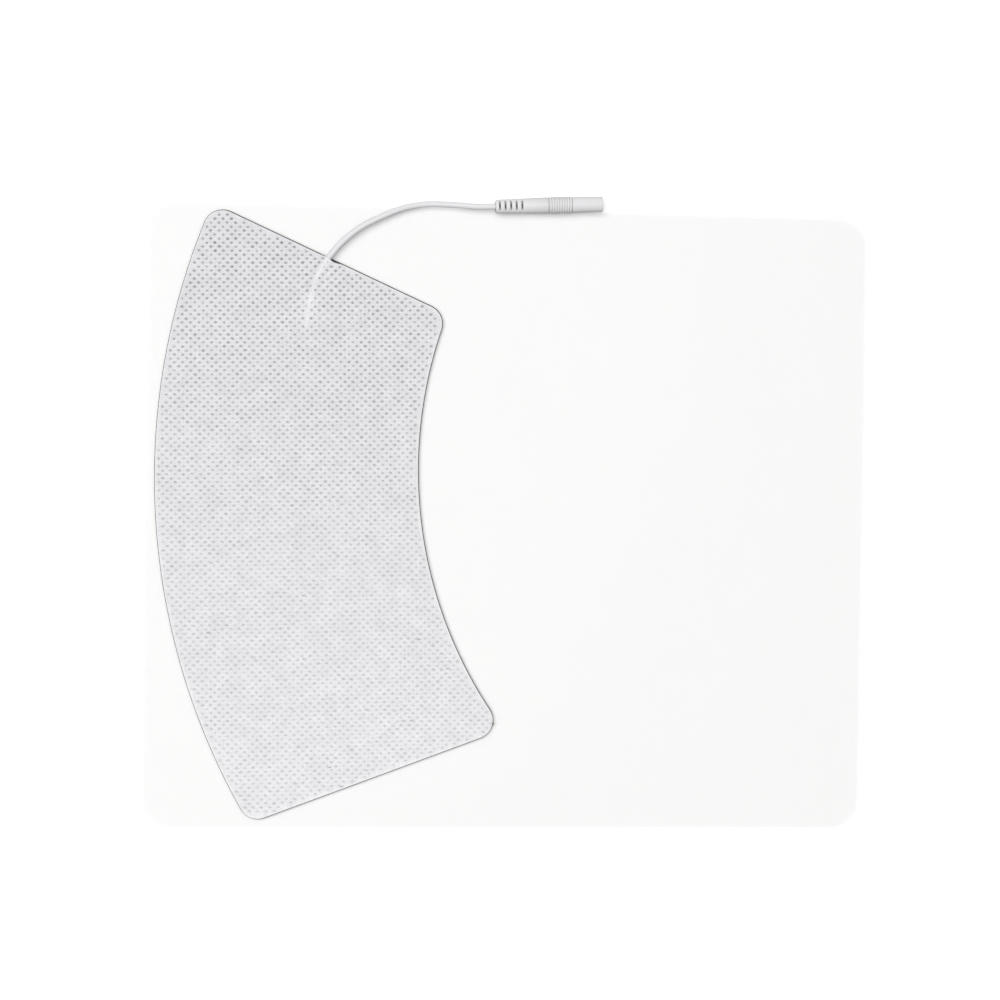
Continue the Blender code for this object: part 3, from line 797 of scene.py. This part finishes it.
def press_dots(bm, cells, bond):
    """Presses a small oval pit into each cell, each of a slightly different size and turn."""
    dice = random.Random(3)
    corners = [[vert.co.copy() for vert in face.verts] for face in cells]
    bmesh.ops.inset_individual(bm, faces=cells, thickness=FIRST_INSET)
    rims = [face.verts[:] for face in cells]
    bmesh.ops.inset_individual(bm, faces=cells, thickness=FIRST_INSET)
    for face, places, rim in zip(cells, corners, rims):
        centre = sum(places, Vector()) / 4
        size = dice.uniform(*DOT_SIZES)
        turn = Matrix.Rotation(dice.uniform(-DOT_TURN, DOT_TURN), 3, "Z")
        shift = Vector((dice.uniform(-1, 1), dice.uniform(-1, 1), 0.0)) * DOT_SHIFT
        strength = dice.uniform(*DOT_STRENGTHS)
        lower = (TOP_LOOK_Y - centre.y) / (TOP_LOOK_Y - LOW_LOOK_Y)
        widening = 1 + DOT_WIDENING * min(max(lower, 0.0), 1.0)
        for place, rim_vert, floor_vert in zip(places, rim, face.verts):
            arm = turn @ (place - centre) * size
            across = abs(arm.x) > abs(arm.y)
            stretch = widening if across else 1.0
            rim_vert.co = centre + shift + arm * stretch * DOT_RIM[0 if across else 1]
            floor_vert.co = centre + shift + arm * stretch * DOT_FLOOR[0 if across else 1]
            floor_vert[bond] = strength


def embossed_fabric():
    """The cover as one closed sheet: welded points pressed in, and raised over the lead. The
    channel's crest is whitened, partly as the white lead shows through and partly as a painted
    highlight, and its side that lies away from the lamp gets painted light against its shade."""
    bm = bmesh.new()
    bond = bm.verts.layers.float.new("bond")
    rim_layer = bm.verts.layers.float.new("rim")
    crest = bm.verts.layers.float.new("crest")
    ridge = bm.verts.layers.float.new("ridge")
    cell = Matrix((
        (DOT_PITCH / 2, DOT_PITCH / 2, 0.0, 0.0),
        (ROW_PITCH, -ROW_PITCH, 0.0, 0.0),
        (0.0, 0.0, 1.0, 0.0),
        (0.0, 0.0, 0.0, 1.0),
    ))
    lattice_place = Matrix.Translation((*LATTICE_MIDDLE, FABRIC_TOP))
    bmesh.ops.create_grid(
        bm,
        x_segments=LATTICE_CELLS,
        y_segments=LATTICE_CELLS,
        size=LATTICE_CELLS / 2,
        matrix=lattice_place @ Matrix.Rotation(LATTICE_TURN, 4, "Z") @ cell,
    )
    outside = [
        face for face in bm.faces
        if fabric_depth(face.calc_center_median().to_2d()) < DOT_EDGE
    ]
    bmesh.ops.delete(bm, geom=outside, context="FACES")
    for vert in bm.verts:
        vert.co.x, vert.co.y = moved_in(vert.co.to_2d(), PLAIN_EDGE)
    for face in bm.faces:
        face.material_index = 1
    ragged = [edge for edge in bm.edges if edge.is_boundary]
    edge_line = pad_edge(bm, FABRIC_TOP, FABRIC_INSETS)
    straight = [edge for edge in edge_line if edge.calc_length() > 4 * DOT_PITCH]
    bmesh.ops.subdivide_edges(bm, edges=straight, cuts=END_CUTS)
    edge_line = [edge for edge in bm.edges if not edge.link_faces]
    # The cut edge is marked for a brighter rim, partly its own whiter edge and partly painted light
    # caught by it.
    for vert in {vert for edge in edge_line for vert in edge.verts}:
        vert[rim_layer] = 1.0
        # Beside the lead the edge is drawn back, baring dark film in place of shade.
        if (vert.co.to_2d() - GAP_MIDDLE).length < GAP_REACH:
            vert.co.x, vert.co.y = moved_in(vert.co.to_2d(), FABRIC_INSETS[2])
    bmesh.ops.triangle_fill(bm, use_beauty=True, edges=ragged + edge_line)
    for face in bm.faces:
        if face.normal.z < 0:
            face.normal_flip()
    bmesh.ops.solidify(bm, geom=bm.faces[:], thickness=FABRIC_THICKNESS)
    middle = FABRIC_TOP - FABRIC_THICKNESS / 2
    cells = [
        face for face in bm.faces
        if face.material_index == 1 and face.calc_center_median().z > middle
    ]
    press_dots(bm, cells, bond)
    near = [
        edge for edge in bm.edges
        if min(channel_place(vert.co.to_2d())[0] for vert in edge.verts) < RIDGE_REACH * 0.99
    ]
    bmesh.ops.subdivide_edges(bm, edges=near, cuts=1, use_grid_fill=True)
    for face in bm.faces:
        face.material_index = 0
    for vert in bm.verts:
        place = vert.co.to_2d()
        upper = vert.co.z > middle
        half_width = CHANNEL_HALF_WIDTH + (FABRIC_THICKNESS if upper else 0.0)
        lift = channel_lift(place, half_width)
        if lift > 0.0:
            beside = channel_place(place)[0] / CREST_HALF_WIDTH
            vert[ridge] = 1.0 if upper else 0.0
            vert[bond] *= min(max(2 * beside - 1, 0.0), 1.0)
            middle_share = max(1 - beside / 2, 0.0)
            # Painted light on the lee flank, by how steeply it rises away from the lamp; the crest is
            # whitened partly as a painted highlight.
            lee_slope = (channel_lift(place + LEE_STEP, half_width) - lift) / LEE_STEP.length
            vert[crest] = CREST_WHITENESS_AND_HIGHLIGHT * min(lift / CREST_LIFT, 1.0) * middle_share
            vert[crest] += LEE_PAINTED_LIGHT * max(lee_slope, 0.0)
        vert.co.z += lift - DOT_DEPTH * vert[bond]
    return bm


def fabric_finish():
    """White fibres, cloudy in thickness, with the dark film showing through the welds, and a painted
    sheen that lightens both towards the pad's low end.
    """
    made = bpy.data.materials.new("nonwoven_fabric")
    made.use_nodes = True
    tree = made.node_tree
    shader = tree.nodes["Principled BSDF"]
    shader.inputs["Roughness"].default_value = FABRIC_ROUGHNESS
    shader.inputs["Specular IOR Level"].default_value = FABRIC_SPECULAR
    place = add_node(tree, "ShaderNodeTexCoord").outputs["Object"]
    bond = add_node(tree, "ShaderNodeAttribute", attribute_name="bond").outputs["Fac"]
    along = add_node(tree, "ShaderNodeSeparateXYZ", {"Vector": place}).outputs["Y"]
    # Painted sheen: the fabric's colour grows lighter towards the pad's low end.
    painted_sheen_lengthwise = add_node(tree, "ShaderNodeMapRange", {
        "Value": along,
        "From Min": TONE_TOP_Y,
        "From Max": TONE_LOW_Y,
    }).outputs["Result"]
    white = add_node(tree, "ShaderNodeMix", data_type="RGBA", sockets={
        "Factor": painted_sheen_lengthwise,
        6: FABRIC_TOP_COLOUR,
        7: FABRIC_LOW_COLOUR,
    }).outputs[2]
    cloud = add_node(tree, "ShaderNodeTexNoise", {
        "Vector": place,
        "Scale": CLOUD_SCALE,
        "Detail": 4.0,
        "Roughness": 0.62,
    }).outputs["Fac"]
    fibres = add_node(tree, "ShaderNodeTexNoise", {
        "Vector": place,
        "Scale": FIBRE_SCALE,
        "Detail": 3.0,
        "Roughness": 0.6,
    }).outputs["Fac"]
    cloud_shade = add_node(tree, "ShaderNodeMapRange", {
        "Value": cloud,
        "From Min": 0.25,
        "From Max": 0.75,
        "To Min": CLOUD_SHADES[0],
        "To Max": CLOUD_SHADES[1],
    }).outputs["Result"]
    fibre_shade = add_node(tree, "ShaderNodeMapRange", {
        "Value": fibres,
        "From Min": 0.3,
        "From Max": 0.7,
        "To Min": FIBRE_SHADES[0],
        "To Max": FIBRE_SHADES[1],
    }).outputs["Result"]
    ridge = add_node(tree, "ShaderNodeAttribute", attribute_name="ridge").outputs["Fac"]
    # The channel's whitening: partly the white lead showing through, partly painted light and
    # highlight.
    crest = add_node(tree, "ShaderNodeMath", operation="MULTIPLY_ADD", sockets={
        0: ridge,
        1: RIDGE_WHITE_AND_PAINTED_LIGHT,
        2: add_node(tree, "ShaderNodeAttribute", attribute_name="crest").outputs["Fac"],
    }).outputs[0]
    # The cut rim is whitened as well, partly its own whiter edge and partly painted light caught by it.
    whiter = add_node(tree, "ShaderNodeMath", operation="MAXIMUM", sockets={
        0: add_node(tree, "ShaderNodeAttribute", attribute_name="rim").outputs["Fac"],
        1: crest,
    }).outputs[0]
    painted_light_and_tone = add_node(tree, "ShaderNodeMath", operation="MULTIPLY_ADD", sockets={
        0: whiter,
        1: FABRIC_RIM_GAIN,
        2: 1.0,
    }).outputs[0]
    mottled = add_node(tree, "ShaderNodeMath", operation="MULTIPLY", sockets={
        0: cloud_shade,
        1: fibre_shade,
    }).outputs[0]
    shade = add_node(tree, "ShaderNodeMath", operation="MULTIPLY", sockets={
        0: mottled,
        1: painted_light_and_tone,
    }).outputs[0]
    uneven = add_node(tree, "ShaderNodeTexNoise", {
        "Vector": place,
        "Scale": UNEVEN_SCALE,
        "Detail": 1.0,
    }).outputs["Fac"]
    # Painted sheen: the welds show the dark film less towards the low end.
    strength = add_node(tree, "ShaderNodeMapRange", {
        "Value": along,
        "From Min": TOP_LOOK_Y,
        "From Max": LOW_LOOK_Y,
        "To Min": BOND_DARK_TOP,
        "To Max": BOND_DARK_LOW,
    }).outputs["Result"]
    darkness = add_node(tree, "ShaderNodeMapRange", {
        "Value": uneven,
        "From Min": 0.3,
        "From Max": 0.7,
        "To Min": UNEVEN_SHADES[0],
        "To Max": UNEVEN_SHADES[1],
    }).outputs["Result"]
    show = add_node(tree, "ShaderNodeMath", operation="MULTIPLY", sockets={
        0: bond,
        1: darkness,
    }).outputs[0]
    show_through = add_node(tree, "ShaderNodeMath", operation="MULTIPLY", use_clamp=True, sockets={
        0: show,
        1: strength,
    }).outputs[0]
    fabric = add_node(tree, "ShaderNodeVectorMath", operation="SCALE", sockets={
        0: white,
        "Scale": shade,
    }).outputs[0]
    colour = add_node(tree, "ShaderNodeMix", data_type="RGBA", sockets={
        "Factor": show_through,
        6: fabric,
        7: CARBON_COLOUR,
    }).outputs[2]
    bump = add_node(tree, "ShaderNodeBump", {
        "Height": fibres,
        "Distance": FIBRE_RELIEF,
        "Strength": 0.5,
    })
    evenness = add_node(tree, "ShaderNodeMath", operation="MULTIPLY", sockets={
        0: ridge,
        1: RIDGE_EVENNESS,
    }).outputs[0]
    upright = add_node(tree, "ShaderNodeMix", data_type="VECTOR", sockets={
        "Factor": evenness,
        4: bump.outputs["Normal"],
        5: (0.0, 0.0, 1.0),
    }).outputs[1]
    tree.links.new(colour, shader.inputs["Base Color"])
    tree.links.new(upright, shader.inputs["Normal"])
    return made


cover = piece_from(
    embossed_fabric(), "fabric_cover", fabric_finish(), "nonwoven_fabric", "backing_fabric", crease=60.0
)


# Connector: a pale plastic body moulded over the socket and the lead in one shot, with a
# slotted strain relief at its rear and rings for the fingers near its front.
CONNECTOR_REAR = Vector((-0.0060, 0.09515, 0.00260))
CONNECTOR_TURN = math.radians(2.76)
CONNECTOR_PLACE = Matrix.Translation(CONNECTOR_REAR) @ Matrix.Rotation(CONNECTOR_TURN, 4, "Z")
RELIEF_LENGTH = 0.0089
REAR_RADIUS = 0.00205
REAR_ROUND = 0.0006
WAIST_RADIUS = 0.00225
BODY_RADIUS = 0.00245
GRIP_START = 0.0164
RINGS = 9
RING_PITCH = 0.00077
RING_CREST = 0.00254
RING_GROOVE = 0.00230
SEAM_GROOVE = 0.00222
NOSE_RADIUS = 0.00234
CONNECTOR_LENGTH = 0.03283
FRONT_RADIUS = 0.00230
FRONT_ROUND = 0.00025
MOUTH_RADIUS = 0.0011
MOUTH_CHAMFER = 0.0003
LIP_LENGTH = 0.0008
SEAT_RADIUS = 0.0014
SLEEVE_REAR = 0.01943
LEAD_BORE_RADIUS = 0.0010
WINDOW_ROWS = 3
WINDOWS_A_ROW = 5
RELIEF_COLLAR = 0.0004
WINDOW_WIDTH = 0.00058
WINDOW_SPAN = 0.0027
RIB_BULGE = 0.00006
WINDOW_PITCH = (RELIEF_LENGTH - RELIEF_COLLAR) / WINDOWS_A_ROW
WINDOW_END_ROUND = WINDOW_WIDTH * 0.3
WINDOW_END_STEPS = 3
WINDOW_FLOOR = LEAD_BORE_RADIUS - 0.00005
RING_SHARES = (0.22, 0.36, 0.50, 0.64, 0.78)
REAR_SEAM = (0.00038, 0.00030, 0.00010)
FRONT_SEAM = (0.00014, 0.00022)
SEAT_REAR = SLEEVE_REAR - 0.0001
ROUND_STEPS = 4
TURNING_STEPS = 72
GRIP_ZONE = (GRIP_START - 0.0005, GRIP_START + RINGS * RING_PITCH + 0.0002)
# Painted shade in the slots starts below SLOT_START and reaches full strength SLOT_DEPTH further in.
SLOT_DEPTH = 0.0008
SLOT_START = REAR_RADIUS - RIB_BULGE - 0.0002
RECESS_PAINTED_SHADE = 0.75
PLASTIC_COLOUR = (0.80, 0.80, 0.81, 1.0)
PLASTIC_ROUGHNESS = 0.30
PLASTIC_SKIN = (0.03, 7000.0, 0.00001)


def quarter_round(along, radius, size, front):
    """Points of a rounded rim at a turned body's rear or front, in order along it."""
    points = []
    for step in range(ROUND_STEPS + 1):
        angle = math.pi / 2 * step / ROUND_STEPS
        inwards = size * (1 - math.sin(angle))
        fall = size * (1 - math.cos(angle))
        points.append((along - inwards if front else along + inwards, radius - fall))
    return points if front else points[::-1]


def turned(profile):
    """A body turned about the connector's axis from its closed section."""
    bm = bmesh.new()
    verts = [bm.verts.new((along, radius, 0.0)) for along, radius in profile]
    section = [bm.edges.new(pair) for pair in zip(verts, verts[1:] + verts[:1])]
    bmesh.ops.spin(
        bm,
        geom=section,
        cent=(0.0, 0.0, 0.0),
        axis=(1.0, 0.0, 0.0),
        angle=math.tau,
        steps=TURNING_STEPS,
        use_merge=True,
    )
    bmesh.ops.recalc_face_normals(bm, faces=bm.faces)
    return bm


def grip_rings():
    """Section of the finger rings: a rounded crest and a groove for each."""
    points = []
    for ring in range(RINGS):
        start = GRIP_START + ring * RING_PITCH
        points.append((start, RING_GROOVE))
        for share in RING_SHARES:
            rise = math.sin(math.pi * share) ** 0.5
            points.append((start + share * RING_PITCH, RING_GROOVE + (RING_CREST - RING_GROOVE) * rise))
    end = GRIP_START + RINGS * RING_PITCH
    return [
        *points,
        (end, SEAM_GROOVE),
        (end + FRONT_SEAM[0], SEAM_GROOVE),
        (end + FRONT_SEAM[1], NOSE_RADIUS),
    ]


def relief_ribs():
    """Section of the strain relief: a slight bulge between one slot and the next."""
    points = []
    for step in range(1, 4 * WINDOWS_A_ROW):
        along = RELIEF_COLLAR + WINDOW_PITCH * step / 4
        cone = REAR_RADIUS + (WAIST_RADIUS - REAR_RADIUS) * along / RELIEF_LENGTH
        points.append((along, cone + RIB_BULGE * math.cos(math.tau * step / 4)))
    return points


def relief_windows():
    """Cutters for the slots round the strain relief, round at their ends."""
    bm = bmesh.new()
    height = 2 * BODY_RADIUS - WINDOW_FLOOR
    bmesh.ops.create_cube(bm, size=1.0)
    bmesh.ops.scale(bm, vec=(WINDOW_WIDTH, WINDOW_SPAN, height), verts=bm.verts)
    upright = [edge for edge in bm.edges if abs(edge.verts[0].co.z - edge.verts[1].co.z) > height / 2]
    bmesh.ops.bevel(
        bm,
        geom=upright,
        offset=WINDOW_END_ROUND,
        offset_type="OFFSET",
        affect="EDGES",
        segments=WINDOW_END_STEPS,
        profile=0.5,
        material=-1,
    )
    bmesh.ops.translate(bm, vec=(0.0, 0.0, WINDOW_FLOOR + height / 2), verts=bm.verts)
    first = bm.verts[:] + bm.edges[:] + bm.faces[:]
    for row in range(WINDOW_ROWS):
        turn = Matrix.Rotation(math.tau * row / WINDOW_ROWS, 4, "X")
        for slot in range(WINDOWS_A_ROW):
            along = RELIEF_COLLAR + (slot + 0.5) * WINDOW_PITCH
            copied = bmesh.ops.duplicate(bm, geom=first)["geom"]
            verts = [item for item in copied if isinstance(item, bmesh.types.BMVert)]
            bmesh.ops.transform(bm, matrix=turn @ Matrix.Translation((along, 0.0, 0.0)), verts=verts)
    spare = [item for item in first if isinstance(item, bmesh.types.BMVert)]
    bmesh.ops.delete(bm, geom=spare, context="VERTS")
    return bm


def plain_object(bm, name):
    mesh = bpy.data.meshes.new(name)
    bm.to_mesh(mesh)
    bm.free()
    made = bpy.data.objects.new(name, mesh)
    scene.collection.objects.link(made)
    return made


def cut_away(bm, cutter_bm):
    """What is left of bm once the cutter is taken out of it."""
    body = plain_object(bm, "uncut_body")
    cutter = plain_object(cutter_bm, "cutter")
    cut = body.modifiers.new("cut", "BOOLEAN")
    cut.operation = "DIFFERENCE"
    cut.solver = "EXACT"
    cut.object = cutter
    graph = bpy.context.evaluated_depsgraph_get()
    left = bmesh.new()
    left.from_object(body, graph)
    for spent in (body, cutter):
        bpy.data.objects.remove(spent, do_unlink=True)
    return left


housing_section = [
    *quarter_round(0.0, REAR_RADIUS, REAR_ROUND, front=False),
    *relief_ribs(),
    (RELIEF_LENGTH, WAIST_RADIUS),
    (GRIP_START - REAR_SEAM[0], BODY_RADIUS),
    (GRIP_START - REAR_SEAM[1], SEAM_GROOVE),
    (GRIP_START - REAR_SEAM[2], SEAM_GROOVE),
    *grip_rings(),
    *quarter_round(CONNECTOR_LENGTH, FRONT_RADIUS, FRONT_ROUND, front=True),
    (CONNECTOR_LENGTH, MOUTH_RADIUS + MOUTH_CHAMFER),
    (CONNECTOR_LENGTH - MOUTH_CHAMFER, MOUTH_RADIUS),
    (CONNECTOR_LENGTH - LIP_LENGTH, MOUTH_RADIUS),
    (CONNECTOR_LENGTH - LIP_LENGTH, SEAT_RADIUS),
    (SEAT_REAR, SEAT_RADIUS),
    (SEAT_REAR, LEAD_BORE_RADIUS),
    (0.0, LEAD_BORE_RADIUS),
]
housing = cut_away(turned(housing_section), relief_windows())
# Painted shade: each point in the slots and between the finger rings darkens with its depth below the
# surface.
painted_recess_shade = housing.verts.layers.float.new("painted_recess_shade")
for vert in housing.verts:
    radius = math.hypot(vert.co.y, vert.co.z)
    if vert.co.x < RELIEF_LENGTH:
        vert[painted_recess_shade] = min(max((SLOT_START - radius) / SLOT_DEPTH, 0.0), 1.0)
    elif GRIP_ZONE[0] < vert.co.x < GRIP_ZONE[1]:
        vert[painted_recess_shade] = max((RING_CREST - radius) / SLOT_DEPTH, 0.0)
bmesh.ops.transform(housing, matrix=CONNECTOR_PLACE, verts=housing.verts)
pale_plastic = plastic("connector_plastic", PLASTIC_COLOUR, PLASTIC_ROUGHNESS, PLASTIC_SKIN)
recess_shade_mask = add_node(pale_plastic.node_tree, "ShaderNodeAttribute", attribute_name="painted_recess_shade")
shade_in(pale_plastic, recess_shade_mask.outputs["Fac"], 0.0, 1.0, RECESS_PAINTED_SHADE)
connector = piece_from(
    housing, "socket_connector", pale_plastic, "connector_plastic", "connector_housing", crease=30.0
)


# Socket: a brass strip rolled into a sleeve for a 2 mm pin, with its seam left open, and
# drawn in to a crimp barrel that holds the lead's stripped end.
SLEEVE_BORE = 0.0010
SLEEVE_WALL = 0.0003
SLEEVE_FRONT = 0.03193
CRIMP_LENGTH = 0.0040
CRIMP_BORE = 0.00055
SEAM_WIDTH = 0.0003
SLEEVE_EDGE = 0.0001
BRASS_COLOUR = (0.80, 0.60, 0.28, 1.0)
BRASS_ROUGHNESS = 0.26

sleeve_outer = SLEEVE_BORE + SLEEVE_WALL
crimp_outer = CRIMP_BORE + SLEEVE_WALL
sleeve_section = [
    (SLEEVE_REAR - CRIMP_LENGTH, crimp_outer),
    (SLEEVE_REAR, crimp_outer),
    (SLEEVE_REAR + SLEEVE_EDGE, sleeve_outer),
    *quarter_round(SLEEVE_FRONT, sleeve_outer, SLEEVE_EDGE, front=True),
    (SLEEVE_FRONT, SLEEVE_BORE + SLEEVE_EDGE),
    (SLEEVE_FRONT - SLEEVE_EDGE, SLEEVE_BORE),
    (SLEEVE_REAR + SLEEVE_WALL, SLEEVE_BORE),
    (SLEEVE_REAR + SLEEVE_WALL, CRIMP_BORE),
    (SLEEVE_REAR - CRIMP_LENGTH, CRIMP_BORE),
]
seam = bmesh.new()
bmesh.ops.create_cube(seam, size=1.0)
seam_length = SLEEVE_FRONT - SLEEVE_REAR
bmesh.ops.scale(seam, vec=(seam_length, SEAM_WIDTH, 2 * sleeve_outer), verts=seam.verts)
seam_middle = SLEEVE_REAR + 2 * SLEEVE_WALL + seam_length / 2
bmesh.ops.translate(seam, vec=(seam_middle, 0.0, sleeve_outer), verts=seam.verts)
sleeve = cut_away(turned(sleeve_section), seam)
bmesh.ops.transform(sleeve, matrix=CONNECTOR_PLACE, verts=sleeve.verts)
brass = metal("brass", BRASS_COLOUR, BRASS_ROUGHNESS)
piece_from(sleeve, "brass_socket", brass, "brass", "socket_sleeve")
